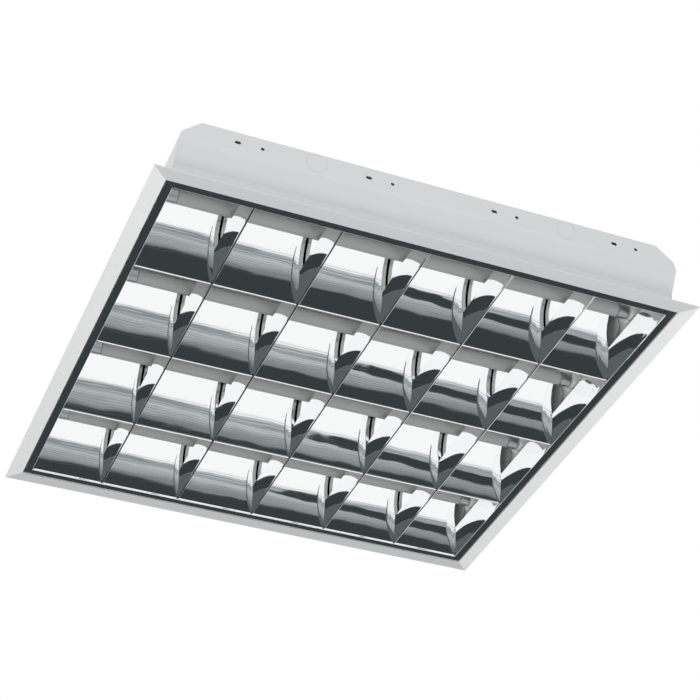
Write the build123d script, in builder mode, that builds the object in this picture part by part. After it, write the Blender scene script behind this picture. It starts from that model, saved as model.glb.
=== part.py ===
"""Recessed troffer light: a square sheet-steel tray for four tubular lamps,
closed from below by a high-gloss parabolic louvre of four rows and six columns.

Frame: millimetres, +Z up into the ceiling, +X along the lamps, +Y across them.
The origin is the centre of the rim's lower face, which rests on the ceiling grid.
"""
from build123d import *
import os
from math import sqrt

os.makedirs("parts", exist_ok=True)

# ---------------------------------------------------------------- driving sizes
# tray
rim_size = 622.0           # outside of the square rim, for a 625 mm ceiling module
rim_flange = 16.2          # width of the rim seen from below, up to the upright strip
steel = 0.8                # sheet of the tray
hem_width = 7.0            # folded-back edge that stiffens the rim
tray_height = 74.5         # rim's lower face to the roof
strip_height = 23.0        # top of the upright strip above the rim
band_height = 28.0         # rounded fold up to the roof
band_outset = 14.6         # the upper band stands out from the upright strip
shelf_width = 7.0          # upright strip in to the end walls
shelf_height = 9.8         # top of that shelf
shoulder_in = 2.3          # the end wall leans in by this much ...
shoulder_rise = 10.0       # ... at this height above the fold
roof_in = 22.8             # end wall in to the edge of the flat roof
bend_radius = 1.2          # outside of a sharp sheet bend
fold_radius = 4.0          # outside of the rounded fold
seam_gap = 0.3             # end walls and roof to the side walls

# pressed features of the side walls and the roof
hole_radius = 2.1
hole_pair_gap = 27.0       # slotted hole to round hole
hole_offset = 6.5          # the row of pairs sits off the middle by this much
hole_drop = 13.5           # roof down to the line of holes
slot_length = 7.0
knockout_radius = 12.6
knockout_ring = 1.3
knockout_depth = 0.35
bead_width = 12.0
bead_length = 430.0
bead_depth = 1.6
suspension_x = 220.0       # suspension holes from the middle, along the lamps
suspension_radius = 2.75

# louvre
rows = 4
columns = 6
side_row_loss = 7.4        # the outer rows are narrower on their outer side
end_column_loss = 11.0     # the end columns are narrower
louvre_gap = 1.4           # louvre to the rim's upright strip
mirror_flange = 9.0        # flat mirror strip round the louvre
mirror = 0.5               # sheet of reflectors and strips
blade_sheet = 0.4
flange_z = 1.0             # lower face of the flat mirror strip
edge_z = 3.1               # lower edge of the row reflectors
edge_half = 0.8            # half the folded lower edge of a row reflector
apex_drop = 9.0            # roof down to the apex of the rows' parabola
slot_half = 15.0           # open half width above each lamp
lip_height = 2.5           # upright lip on the reflectors' upper edges
blade_low = 1.8
blade_clearance = 6.8      # lamp cap down to the blades' upper edges
blade_half_low = 0.7
blade_half_high = 5.8
bridge_height = 3.0        # blade's low strip that crosses under the row reflectors
fit_gap = 0.35             # blade ends to the reflectors' mirror faces
lean_in = 6.6              # end reflectors lean in by this much at their upper edge
shoulder_clearance = 4.0   # row reflectors below the tray's leaning shoulders

# lamps and lampholders
holder_space = 13.3        # lamp's cap face to the outside of the end wall
glass_radius = 8.0
glass_wall = 0.8
lamp_drop = 17.0           # parabola's apex down to the lamp axis
cap_length = 12.5
cap_radius = 8.2
pin_radius = 1.185
pin_pitch = 4.75
pin_length = 7.1
holder_gap = 0.3           # lamp cap to lampholder
holder_width = 22.0
holder_below = 10.5        # lamp axis to the holder's lower edge
holder_above = 9.1         # lamp axis to its upper edge
holder_corner = 5.0
rotor_radius = 6.6
rotor_gap = 0.08
rotor_depth = 7.4
rotor_end_gap = 0.3
pin_slot = 3.2

# control gear
ballast_length = 360.0
ballast_width = 30.0
ballast_height = 21.0
ballast_foot = 14.0        # base plate beyond the cover at each end
wire_entry_pitch = 4.6
wire_entry_radius = 1.5
wire_entry_depth = 6.0
wire_radius = 1.1
wire_gap = 0.3             # wires to the sheet they lie against
wire_bend = 3.0
gear_sheet = 0.7
screw_radius = 2.0
screw_inset = 12.0         # twice the screws' distance from the base plate's ends
screw_head_radius = 3.9
screw_head_height = 2.3
terminal_x = -62.0
terminal_length = 34.0
terminal_width = 26.0
terminal_height = 19.0
terminal_pitch = 6.2
terminal_depth = 7.0
earth_step = 48.0          # terminal block to the earth screw
cable_x = -112.0
grommet_radius = 10.0
grommet_bore = 5.5

# hinge and catches of the louvre
hinge_inset = 2.3          # hinge axis inboard of the louvre's outer edge
hinge_z = 3.5
hinge_y = 200.0
hinge_pin_radius = 1.0
knuckle_gap = 0.05
knuckle_radius = 1.9
knuckle_length = 12.0
hinge_side_gap = 0.3
ear_thickness = 1.2
ear_half = 1.6
catch_y = 200.0
catch_width = 16.0
catch_inset = 3.5          # tongue inboard of the louvre's outer edge
catch_gap = 0.4
catch_leaf = 0.5

# ---------------------------------------------------------------- derived sizes
rim_half = rim_size / 2
wall_half = rim_half - rim_flange          # outside of the upright strip
upper_half = wall_half + band_outset       # outside of the upper band
end_half = wall_half - shelf_width         # outside of the end walls
fold_height = tray_height - band_height
shoulder_x = end_half - shoulder_in
shoulder_z = fold_height + shoulder_rise
roof_half = end_half - roof_in
hole_z = tray_height - hole_drop
opening_half = wall_half - steel           # inside of it
louvre_half = opening_half - louvre_gap
louvre_clear = louvre_half - mirror_flange  # inner edge of the mirror strip
roof_under = tray_height - steel
row_pitch = 2 * (louvre_clear + side_row_loss) / rows
column_pitch = 2 * (louvre_clear + end_column_loss) / columns
apex_z = tray_height - apex_drop
lamp_z = apex_z - lamp_drop
lamp_length = 2 * (end_half - holder_space)
blade_high = lamp_z - cap_radius - blade_clearance
bridge_top = blade_low + bridge_height
holder_low = lamp_z - holder_below
holder_high = lamp_z + holder_above
ballast_case = ballast_length - 2 * ballast_foot
gear_row = row_pitch                       # ballasts sit over the outer row edges
entry_z = roof_under - 0.55 * ballast_height
earth_x = terminal_x + earth_step
terminal_z = roof_under - 0.58 * terminal_height
lamp_rows = [row_pitch * (i - (rows - 1) / 2) for i in range(rows)]
row_edges = [row_pitch * (i - (rows - 2) / 2) for i in range(rows - 1)]
blade_rows = [column_pitch * (i - (columns - 2) / 2) for i in range(columns - 1)]
inner_reach = row_pitch / 2 - edge_half    # lamp axis to an inner row edge
outer_reach = louvre_clear - lamp_rows[-1]  # lamp axis to the mirror strip


def save(builder, name):
    """Label a finished piece and write it under its own name."""
    builder.part.label = name
    export_step(builder.part, f"parts/{name}.step")


# ---------------------------------------------------------------- the rows' parabola
def trough_z(s, reach):
    """Height of the mirror face at distance s from the lamp axis."""
    return apex_z - (apex_z - edge_z) * (s / reach) ** 2


def trough_s(z, reach):
    """Distance from the lamp axis at which the mirror face has height z."""
    return reach * sqrt((apex_z - z) / (apex_z - edge_z))


def trough_arc(lamp_y, way, reach, s_low, s_high, shift=(0.0, 0.0)):
    """The three control points of the parabola between two distances."""
    s_mid = (s_low + s_high) / 2
    z_low = trough_z(s_low, reach)
    slope = -2 * (apex_z - edge_z) * s_low / reach**2
    z_mid = z_low + slope * (s_mid - s_low)
    points = [(s_low, z_low), (s_mid, z_mid), (s_high, trough_z(s_high, reach))]
    return [(lamp_y + way * (s + shift[0]), z + shift[1]) for s, z in points]


def reflector_leg(lamp_y, way, reach):
    """Sheet section of one mirror face, from its lower edge up to the lamp slot."""
    face = trough_arc(lamp_y, way, reach, reach, slot_half)
    back = trough_arc(lamp_y, way, reach, reach, slot_half, (0.9 * mirror, 0.7 * mirror))
    top_z = trough_z(slot_half, reach)
    with BuildSketch() as leg:
        with BuildLine():
            Bezier(*face)
            Line(face[-1], back[-1])
            Bezier(*reversed(back))
            Line(back[0], face[0])
        make_face()
        with Locations((lamp_y + way * (slot_half + mirror), top_z + lip_height / 2)):
            Rectangle(mirror, lip_height)
    return leg.sketch


def row_windows(low_z, high_z):
    """Section through all rows that a blade fills, with its strip under the row edges."""
    with BuildSketch() as windows:
        for lamp_y in lamp_rows:
            up = outer_reach if lamp_y == lamp_rows[-1] else inner_reach
            down = outer_reach if lamp_y == lamp_rows[0] else inner_reach
            right = trough_arc(lamp_y, 1, up, up, trough_s(high_z, up), (-fit_gap, 0))
            left = trough_arc(lamp_y, -1, down, down, trough_s(high_z, down), (-fit_gap, 0))
            with BuildLine():
                Bezier(*right)
                Line(right[-1], left[-1])
                Bezier(*reversed(left))
                Line(left[0], right[0])
            make_face()
        with Locations((0, (low_z + bridge_top) / 2)):
            Rectangle(2 * (louvre_clear - fit_gap), bridge_top - low_z)
    return windows.sketch


# ---------------------------------------------------------------- tray
def mirrored(points):
    """Repeat a right-hand outline on the left, in running order."""
    return [(-x, z) for x, z in reversed(points)] + points


def rim_side():
    """Mitred flange of one side of the rim, on the -Y side, with its hem."""
    with BuildPart() as flange:
        for inner, level in ((opening_half, 0), (rim_half - hem_width, steel)):
            with BuildSketch(Plane.XY.offset(level)):
                with BuildLine():
                    corners = [(-rim_half, -rim_half), (rim_half, -rim_half)]
                    Polyline(*corners, (inner, -inner), (-inner, -inner), close=True)
                make_face()
            extrude(amount=steel)
    return flange.part


def make_side_panel(turn):
    """Side wall: upright strip, sloping band, rounded fold and upper band with cut corners."""
    with BuildPart() as panel:
        with BuildSketch(Plane.YZ):
            with BuildLine():
                FilletPolyline(
                    (-wall_half - 2 * steel, steel),
                    (-wall_half, steel),
                    (-wall_half, strip_height),
                    (-upper_half, fold_height),
                    (-upper_half, tray_height),
                    radius=(0.9 * steel, fold_radius, fold_radius),
                )
                offset(amount=steel, side=Side.RIGHT)
            make_face()
        extrude(amount=opening_half, both=True)
        with BuildSketch(Plane.XZ):
            outline = [(opening_half, 0), (opening_half, shelf_height), (end_half, shelf_height)]
            outline += [(end_half, fold_height), (shoulder_x, shoulder_z), (roof_half, tray_height)]
            with BuildLine():
                Polyline(*mirrored(outline), close=True)
            make_face()
        extrude(amount=rim_size, mode=Mode.INTERSECT)
        add(rim_side())
        # four pairs of bracket holes, the left one of each pair slotted
        pair_x = [hole_offset + y for y in lamp_rows]
        with BuildSketch(Plane.XZ.offset(upper_half)):
            with Locations(*[(x + hole_pair_gap / 2, hole_z) for x in pair_x]):
                Circle(hole_radius)
            with Locations(*[(x - hole_pair_gap / 2, hole_z) for x in pair_x]):
                SlotOverall(slot_length, 2 * hole_radius)
        extrude(amount=-2 * steel, mode=Mode.SUBTRACT)
        # two round knock-outs, each a disc held by a pressed ring
        with BuildSketch(Plane.XZ.offset(upper_half)):
            with Locations(*[(hole_offset + side * row_pitch, hole_z) for side in (-1, 1)]):
                Circle(knockout_radius)
                Circle(knockout_radius - knockout_ring, mode=Mode.SUBTRACT)
        extrude(amount=-knockout_depth, mode=Mode.SUBTRACT)
    with BuildPart() as placed:
        add(panel.part.rotate(Axis.Z, turn))
    return placed


def make_housing_pan():
    """Roof, leaning shoulders, end walls, shelves and the two end flanges in one sheet."""
    with BuildPart() as pan:
        half = [(wall_half, 0), (wall_half, shelf_height), (end_half, shelf_height)]
        half += [(end_half, fold_height), (shoulder_x, shoulder_z), (roof_half, tray_height)]
        with BuildSketch(Plane.XZ):
            with BuildLine():
                FilletPolyline(*reversed(mirrored(list(reversed(half)))), radius=bend_radius)
                offset(amount=steel, side=Side.LEFT)
            make_face()
        extrude(amount=upper_half, both=True)
        # the sheet ends against the inner faces of the side walls
        lower, upper = opening_half - seam_gap, upper_half - steel - seam_gap
        slope = [(lower, 0), (lower, strip_height), (upper, fold_height), (upper, tray_height)]
        with BuildSketch(Plane.YZ):
            with BuildLine():
                Polyline(*mirrored(slope), close=True)
            make_face()
        extrude(amount=rim_half, both=True, mode=Mode.INTERSECT)
        add(rim_side().rotate(Axis.Z, 90))
        add(rim_side().rotate(Axis.Z, -90))
        # stiffening beads pressed down over each lamp
        for lamp_y in lamp_rows:
            with BuildSketch(Plane.XY.offset(roof_under)):
                with Locations((0, lamp_y)):
                    SlotOverall(bead_length + 2 * steel, bead_width + 2 * steel)
            extrude(amount=-bead_depth, taper=30)
            with BuildSketch(Plane.XY.offset(tray_height)):
                with Locations((0, lamp_y)):
                    SlotOverall(bead_length, bead_width)
            extrude(amount=-bead_depth, taper=30, mode=Mode.SUBTRACT)
        # suspension, ballast, cable and earth holes
        with BuildSketch(Plane.XY.offset(roof_under - steel)):
            with GridLocations(2 * suspension_x, 2 * gear_row, 2, 2):
                Circle(suspension_radius)
            with GridLocations(ballast_length - screw_inset, 2 * gear_row, 2, 2):
                Circle(screw_radius)
            with Locations((cable_x, 0)):
                Circle(grommet_radius - 1.5)
            with Locations((earth_x, 0)):
                Circle(screw_radius)
        extrude(amount=3 * steel, mode=Mode.SUBTRACT)
        # spare cable knock-outs
        with BuildSketch(Plane.XY.offset(tray_height)):
            with Locations((-cable_x, 0), (-cable_x + 2.6 * knockout_radius, 0)):
                Circle(knockout_radius)
                Circle(knockout_radius - knockout_ring, mode=Mode.SUBTRACT)
        extrude(amount=-knockout_depth, mode=Mode.SUBTRACT)
    return pan


save(make_side_panel(0), "side_panel_front")
save(make_side_panel(180), "side_panel_rear")
save(make_housing_pan(), "housing_pan")


# ---------------------------------------------------------------- louvre
def end_trim():
    """Side view that the row reflectors keep: upper corners cut parallel to the shoulders."""
    corner_x = louvre_clear - fit_gap
    corner_z = shoulder_z - shoulder_clearance
    lean = (tray_height - shoulder_z) / (shoulder_x - roof_half)
    outline = [(corner_x, 0), (corner_x, corner_z), (roof_half, corner_z + lean * (corner_x - roof_half))]
    with BuildSketch() as trim:
        with BuildLine():
            Polyline(*mirrored(outline), close=True)
        make_face()
    return trim.sketch


def blade_notches(low_z, extra):
    """Notches in a reflector's lower edge where blades and end reflectors pass."""
    top = bridge_top + fit_gap
    middle = (low_z + top) / 2
    with BuildPart() as notches:
        with BuildSketch(Plane.XZ.offset(rim_half)):
            with Locations(*[(x, middle) for x in blade_rows]):
                Rectangle(2 * (blade_half_low + fit_gap + extra), top - low_z)
            with Locations((louvre_clear, middle), (-louvre_clear, middle)):
                Rectangle(6 * mirror, top - low_z)
        extrude(amount=-rim_size)
    return notches.part


def make_row_reflector(edge_y):
    """Row reflector between two lamps: two mirror faces that meet in a narrow folded edge."""
    with BuildPart() as reflector:
        with BuildSketch(Plane.YZ):
            add(reflector_leg(edge_y + row_pitch / 2, -1, inner_reach))
            add(reflector_leg(edge_y - row_pitch / 2, 1, inner_reach))
            with Locations((edge_y, edge_z + mirror / 2)):
                Rectangle(2 * edge_half, mirror)
        extrude(amount=louvre_clear - fit_gap, both=True)
        with BuildSketch(Plane.XZ):
            add(end_trim())
        extrude(amount=rim_half, both=True, mode=Mode.INTERSECT)
        add(blade_notches(edge_z - mirror, 0.4), mode=Mode.SUBTRACT)
    return reflector


def mitred_flange():
    """Flat mirror strip on the -Y side of the louvre, with mitred ends."""
    with BuildPart() as flange:
        with BuildSketch(Plane.XY.offset(flange_z)):
            with BuildLine():
                outer = [(-louvre_half, -louvre_half), (louvre_half, -louvre_half)]
                Polyline(*outer, (louvre_clear, -louvre_clear), (-louvre_clear, -louvre_clear), close=True)
            make_face()
        extrude(amount=mirror)
    return flange.part


def make_side_reflector(turn):
    """Outer side reflector: mirror face, short riser and flat strip."""
    with BuildPart() as reflector:
        with BuildSketch(Plane.YZ):
            add(reflector_leg(lamp_rows[0], -1, outer_reach))
            with Locations((-louvre_clear - mirror / 2, (flange_z + edge_z + mirror) / 2)):
                Rectangle(mirror, edge_z + mirror - flange_z)
        extrude(amount=louvre_clear - fit_gap, both=True)
        with BuildSketch(Plane.XZ):
            add(end_trim())
        extrude(amount=rim_half, both=True, mode=Mode.INTERSECT)
        add(blade_notches(flange_z + 1.5 * mirror, 0.4), mode=Mode.SUBTRACT)
        add(mitred_flange())
    with BuildPart() as placed:
        add(reflector.part.rotate(Axis.Z, turn))
    return placed


def make_cross_blade(blade_x):
    """Cross blade: a narrow folded V, its ends curved to the rows' mirror faces."""
    with BuildPart() as blade:
        with BuildSketch(Plane.XZ):
            for way in (-1, 1):
                low = (blade_x + way * blade_half_low, blade_low)
                bend = (blade_x + way * 2.2 * blade_half_low, (blade_low + blade_high) / 2)
                high = (blade_x + way * blade_half_high, blade_high)
                inner = [(x - way * blade_sheet, z) for x, z in (high, bend, low)]
                with BuildLine():
                    Bezier(low, bend, high)
                    Line(high, inner[0])
                    Bezier(*inner)
                    Line(inner[-1], low)
                make_face()
            with Locations((blade_x, blade_low + blade_sheet / 2)):
                Rectangle(2 * blade_half_low, blade_sheet)
        extrude(amount=louvre_clear, both=True)
        with BuildSketch(Plane.YZ.offset(blade_x)):
            add(row_windows(blade_low, blade_high))
        extrude(amount=3 * blade_half_high, both=True, mode=Mode.INTERSECT)
    return blade


def make_end_reflector(turn):
    """End reflector on the -X side: half a blade that carries the flat mirror strip."""
    with BuildPart() as reflector:
        low = (-louvre_clear, flange_z)
        bend = (-louvre_clear + 1.0, (flange_z + blade_high) / 2)
        high = (-louvre_clear + lean_in, blade_high)
        back = [(x - blade_sheet, z) for x, z in (high, bend, low)]
        with BuildSketch(Plane.XZ):
            with BuildLine():
                Bezier(low, bend, high)
                Line(high, back[0])
                Bezier(*back)
                Line(back[-1], low)
            make_face()
        extrude(amount=louvre_clear, both=True)
        with BuildSketch(Plane.YZ.offset(-louvre_clear)):
            add(row_windows(flange_z, blade_high))
        extrude(amount=3 * lean_in, both=True, mode=Mode.INTERSECT)
        add(mitred_flange().rotate(Axis.Z, -90))
    with BuildPart() as placed:
        add(reflector.part.rotate(Axis.Z, turn))
    return placed


save(make_side_reflector(0), "side_reflector_front")
save(make_side_reflector(180), "side_reflector_rear")
for number, edge_y in enumerate(row_edges, 1):
    save(make_row_reflector(edge_y), f"row_reflector_{number}")
for number, blade_x in enumerate(blade_rows, 1):
    save(make_cross_blade(blade_x), f"cross_blade_{number}")
save(make_end_reflector(0), "end_reflector_left")
save(make_end_reflector(180), "end_reflector_right")

# ---------------------------------------------------------------- hinge and catches
hinge_x = -(louvre_half - hinge_inset)
shelf_under = shelf_height - steel
with BuildPart() as knuckles:
    for y in (-hinge_y, hinge_y):
        with BuildSketch(Plane.XZ.offset(-y)):
            leaf_top = hinge_z - hinge_pin_radius - knuckle_gap - 0.25
            with Locations((hinge_x, hinge_z)):
                Circle(knuckle_radius)
            leaf_end = -louvre_clear - 1.0
            with Locations(((hinge_x + leaf_end) / 2, (flange_z + mirror + leaf_top) / 2)):
                Rectangle(leaf_end - hinge_x, leaf_top - flange_z - mirror)
            with Locations((hinge_x, hinge_z)):
                Circle(hinge_pin_radius + knuckle_gap, mode=Mode.SUBTRACT)
        extrude(amount=knuckle_length / 2, both=True)
save(knuckles, "hinge_knuckles")

ear_y = knuckle_length / 2 + hinge_side_gap + ear_thickness / 2
with BuildPart() as brackets:
    for y in (-hinge_y, hinge_y):
        for side in (-1, 1):
            with BuildSketch(Plane.XZ.offset(-y - side * ear_y)):
                with Locations((hinge_x, (hinge_z + shelf_under) / 2)):
                    Rectangle(2 * ear_half, shelf_under - hinge_z)
                with Locations((hinge_x, hinge_z)):
                    Circle(ear_half)
                    Circle(hinge_pin_radius, mode=Mode.SUBTRACT)
            extrude(amount=ear_thickness / 2, both=True)
        with BuildSketch(Plane.XY.offset(shelf_under)):
            with Locations((hinge_x, y)):
                Rectangle(2 * ear_half, 2 * ear_y + ear_thickness)
        extrude(amount=-steel)
save(brackets, "hinge_brackets")

with BuildPart() as pins:
    for y in (-hinge_y, hinge_y):
        with BuildSketch(Plane.XZ.offset(-y)):
            with Locations((hinge_x, hinge_z)):
                Circle(hinge_pin_radius)
        extrude(amount=ear_y + ear_thickness, both=True)
save(pins, "hinge_pins")

catch_x = louvre_half - catch_inset
with BuildPart() as tongues:
    for y in (-catch_y, catch_y):
        with BuildSketch(Plane.XY.offset(flange_z + mirror)):
            with Locations((catch_x, y)):
                Rectangle(blade_sheet * 1.5, catch_width)
        extrude(amount=shelf_under - 1.0 - flange_z - mirror)
save(tongues, "catch_tongues")

with BuildPart() as catches:
    leaf_x = 0.75 * blade_sheet + catch_gap + catch_leaf / 2
    for y in (-catch_y, catch_y):
        for side in (-1, 1):
            with BuildSketch(Plane.XY.offset(shelf_under)):
                with Locations((catch_x + side * leaf_x, y)):
                    Rectangle(catch_leaf, 0.75 * catch_width)
            extrude(amount=-4.6)
        with BuildSketch(Plane.XY.offset(shelf_under)):
            with Locations((catch_x, y)):
                Rectangle(2 * leaf_x + catch_leaf, 0.75 * catch_width)
        extrude(amount=-catch_leaf)
save(catches, "spring_catches")


# ---------------------------------------------------------------- lamps
def make_lamp_tube(lamp_y):
    """Glass tube with drawn-in ends that sit in the caps."""
    tube_half = lamp_length / 2 - cap_length + 3.0
    with BuildPart() as tube:
        with BuildSketch(Plane.XZ.offset(-lamp_y)):
            with BuildLine():
                FilletPolyline(
                    (-tube_half, lamp_z + glass_radius - 0.9),
                    (-tube_half + 3.6, lamp_z + glass_radius - 0.9),
                    (-tube_half + 4.4, lamp_z + glass_radius),
                    (tube_half - 4.4, lamp_z + glass_radius),
                    (tube_half - 3.6, lamp_z + glass_radius - 0.9),
                    (tube_half, lamp_z + glass_radius - 0.9),
                    radius=0.4,
                )
                offset(amount=glass_wall, side=Side.RIGHT)
            make_face()
        revolve(axis=Axis((0, lamp_y, lamp_z), (1, 0, 0)))
    return tube


def make_lamp_caps(lamp_y):
    """The two end caps, each with its pair of contact pins."""
    half = lamp_length / 2
    with BuildPart() as caps:
        for way in (-1, 1):
            end = Plane(origin=(way * half, lamp_y, lamp_z), x_dir=(0, 1, 0), z_dir=(way, 0, 0))
            with BuildSketch(end):
                Circle(cap_radius)
            extrude(amount=-cap_length)
            with BuildSketch(end.offset(-cap_length)):
                Circle(glass_radius - 0.8)
            extrude(amount=3.2, mode=Mode.SUBTRACT)
            with BuildSketch(end):
                with Locations((-pin_pitch / 2, 0), (pin_pitch / 2, 0)):
                    Circle(pin_radius)
            extrude(amount=pin_length)
    return caps


def make_rotors(lamp_y):
    """The two contact rotors, which turn with the lamp inside their lampholders."""
    front = lamp_length / 2 + holder_gap + rotor_end_gap
    with BuildPart() as rotors:
        for way in (-1, 1):
            face = Plane(origin=(way * front, lamp_y, lamp_z), x_dir=(0, 1, 0), z_dir=(way, 0, 0))
            with BuildSketch(face):
                Circle(rotor_radius)
                with Locations((-pin_pitch / 2, 0), (pin_pitch / 2, 0)):
                    Circle(pin_radius + 0.05, mode=Mode.SUBTRACT)
            extrude(amount=rotor_depth)
    return rotors


def make_lampholder(lamp_y, way):
    """Push-in lampholder: a moulded block with a rotor seat and a slot for the pins."""
    face_x = lamp_length / 2 + holder_gap
    wall_x = end_half - steel
    with BuildPart() as holder:
        with BuildSketch(Plane.XZ.offset(-lamp_y)):
            with BuildLine():
                Polyline(
                    (way * face_x, holder_low),
                    (way * wall_x, holder_low),
                    (way * wall_x, fold_height - steel),
                    (way * (shoulder_x - 1.6 * steel), holder_high - 1.8),
                    (way * (shoulder_x - 1.6 * steel - 1.8), holder_high),
                    (way * face_x, holder_high),
                    close=True,
                )
            make_face()
        extrude(amount=holder_width / 2, both=True)
        with BuildSketch(Plane.YZ.offset(way * face_x)):
            with Locations((lamp_y, (holder_low + holder_high) / 2)):
                RectangleRounded(holder_width, holder_high - holder_low, holder_corner)
        extrude(amount=way * (wall_x - face_x), mode=Mode.INTERSECT)
        with BuildSketch(Plane.YZ.offset(way * face_x)):
            with Locations((lamp_y, lamp_z)):
                Circle(rotor_radius + rotor_gap)
            with Locations((lamp_y, (lamp_z + holder_low) / 2)):
                Rectangle(pin_slot, lamp_z - holder_low)
        extrude(amount=way * (rotor_depth + 2 * rotor_end_gap), mode=Mode.SUBTRACT)
    return holder


for number, lamp_y in enumerate(lamp_rows, 1):
    save(make_lamp_tube(lamp_y), f"lamp_tube_{number}")
    save(make_lamp_caps(lamp_y), f"lamp_caps_{number}")
    save(make_rotors(lamp_y), f"lamp_rotors_{number}")
    save(make_lampholder(lamp_y, -1), f"lampholder_left_{number}")
    save(make_lampholder(lamp_y, 1), f"lampholder_right_{number}")


# ---------------------------------------------------------------- control gear
def make_ballast_base(gear_y):
    """Base plate of a ballast, flat against the roof, with a screw hole at each end."""
    with BuildPart() as base:
        with BuildSketch(Plane.XY.offset(roof_under)):
            with Locations((0, gear_y)):
                RectangleRounded(ballast_length, ballast_width, 3)
            with Locations((0, gear_y)), GridLocations(ballast_length - screw_inset, 1, 2, 1):
                Circle(screw_radius + 0.2, mode=Mode.SUBTRACT)
        extrude(amount=-gear_sheet)
    return base


def make_ballast_cover(gear_y):
    """Folded steel cover of a ballast, open towards its base plate."""
    cover_height = ballast_height - gear_sheet
    with BuildPart() as cover:
        with BuildSketch(Plane.XY.offset(roof_under - gear_sheet)):
            with Locations((0, gear_y)):
                Rectangle(ballast_case, ballast_width - 1.0)
        extrude(amount=-cover_height)
        fillet(cover.edges().group_by(Axis.Z)[0], 1.5)
        with BuildSketch(Plane.XY.offset(roof_under - gear_sheet)):
            with Locations((0, gear_y)):
                Rectangle(ballast_case - 40.0, ballast_width - 1.0 - 2 * gear_sheet)
        extrude(amount=-cover_height + gear_sheet, mode=Mode.SUBTRACT)
        # wire entries of the terminals in both end faces
        for way in (-1, 1):
            with BuildSketch(Plane.YZ.offset(way * ballast_case / 2)):
                with Locations((gear_y, entry_z)), GridLocations(wire_entry_pitch, 1, 5, 1):
                    Circle(wire_entry_radius)
            extrude(amount=-way * wire_entry_depth, mode=Mode.SUBTRACT)
    return cover


gear_rows = [("front", -gear_row), ("rear", gear_row)]
for place, gear_y in gear_rows:
    save(make_ballast_base(gear_y), f"ballast_base_{place}")
    save(make_ballast_cover(gear_y), f"ballast_cover_{place}")


def pan_head_screw(x, y, head_top):
    """Pan-head screw driven upward: head under the sheet, shank through the roof."""
    with BuildPart() as screw:
        with BuildSketch(Plane.XY.offset(head_top)):
            with Locations((x, y)):
                Circle(screw_head_radius)
        extrude(amount=-screw_head_height, taper=12)
        with BuildSketch(Plane.XY.offset(head_top)):
            with Locations((x, y)):
                Circle(screw_radius - 0.05)
        extrude(amount=tray_height - head_top)
    return screw.part


with BuildPart() as ballast_screws:
    for place, gear_y in gear_rows:
        for way in (-1, 1):
            add(pan_head_screw(way * (ballast_length - screw_inset) / 2, gear_y, roof_under - gear_sheet))
save(ballast_screws, "ballast_screws")

with BuildPart() as earth_screw:
    add(pan_head_screw(earth_x, 0, roof_under))
save(earth_screw, "earth_screw")

with BuildPart() as terminal_block:
    with BuildSketch(Plane.XY.offset(roof_under)):
        with Locations((terminal_x, 0)):
            Rectangle(terminal_length, terminal_width)
    extrude(amount=-terminal_height)
    for side in (-1, 1):
        with BuildSketch(Plane.XZ.offset(side * terminal_width / 2)):
            with Locations((terminal_x, terminal_z)), GridLocations(terminal_pitch, 1, 5, 1):
                Rectangle(3.4, 4.4)
        extrude(amount=-side * terminal_depth, mode=Mode.SUBTRACT)
save(terminal_block, "terminal_block")

with BuildPart() as grommet:
    groove = grommet_radius - 1.5
    with BuildSketch(Plane.XZ):
        with BuildLine():
            Polyline(
                (cable_x + grommet_bore, roof_under - 3.0),
                (cable_x + grommet_radius + 1.0, roof_under - 3.0),
                (cable_x + grommet_radius + 1.0, roof_under),
                (cable_x + groove, roof_under),
                (cable_x + groove, tray_height),
                (cable_x + grommet_bore, tray_height),
                close=True,
            )
        make_face()
    revolve(axis=Axis((cable_x, 0, 0), (0, 0, 1)))
save(grommet, "cable_grommet")


# ---------------------------------------------------------------- wiring
def wire(points, radii):
    """One insulated wire along straight runs with rounded bends."""
    with BuildPart() as run:
        with BuildLine() as route:
            FilletPolyline(*points, radius=radii)
        with BuildSketch(Plane(origin=route.line @ 0, z_dir=route.line % 0)):
            Circle(wire_radius)
        sweep()
    return run.part


def lamp_wire(way, gear_y, lamp_y):
    """From a ballast's end along the roof and down the shoulder to a lampholder's side."""
    toward = 1 if lamp_y > gear_y else -1
    start_y = gear_y + toward * 2 * wire_entry_pitch
    side_y = lamp_y - toward * (holder_width / 2 + 2 * wire_radius)
    high = roof_under - wire_gap - wire_radius
    slope = (tray_height - shoulder_z) / (shoulder_x - roof_half)
    bend_x = roof_half - wire_radius - wire_gap
    drop_x = end_half - 7.0 * wire_radius
    points = [
        (ballast_case / 2 - wire_entry_depth / 2, start_y, entry_z),
        (ballast_length / 2 + ballast_foot, start_y, entry_z),
        (ballast_length / 2 + ballast_foot + 9.0, start_y, high),
        (roof_half - 3 * wire_bend - ballast_foot, start_y, high),
        (roof_half - 3 * wire_bend - ballast_foot, side_y, high),
        (bend_x, side_y, high),
        (drop_x, side_y, high - slope * (drop_x - bend_x)),
        (drop_x, side_y, lamp_z + wire_radius),
        (drop_x, lamp_y - toward * holder_width / 2, lamp_z + wire_radius),
    ]
    bends = (wire_bend,) * 6 + (1.3 * wire_radius,)
    return wire([(way * x, y, z) for x, y, z in points], bends)


for place, gear_y in gear_rows:
    served = [y for y in lamp_rows if abs(y - gear_y) < row_pitch]
    with BuildPart() as lamp_wiring:
        for way in (-1, 1):
            for lamp_y in served:
                add(lamp_wire(way, gear_y, lamp_y))
    save(lamp_wiring, f"lamp_wiring_{place}")

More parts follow.
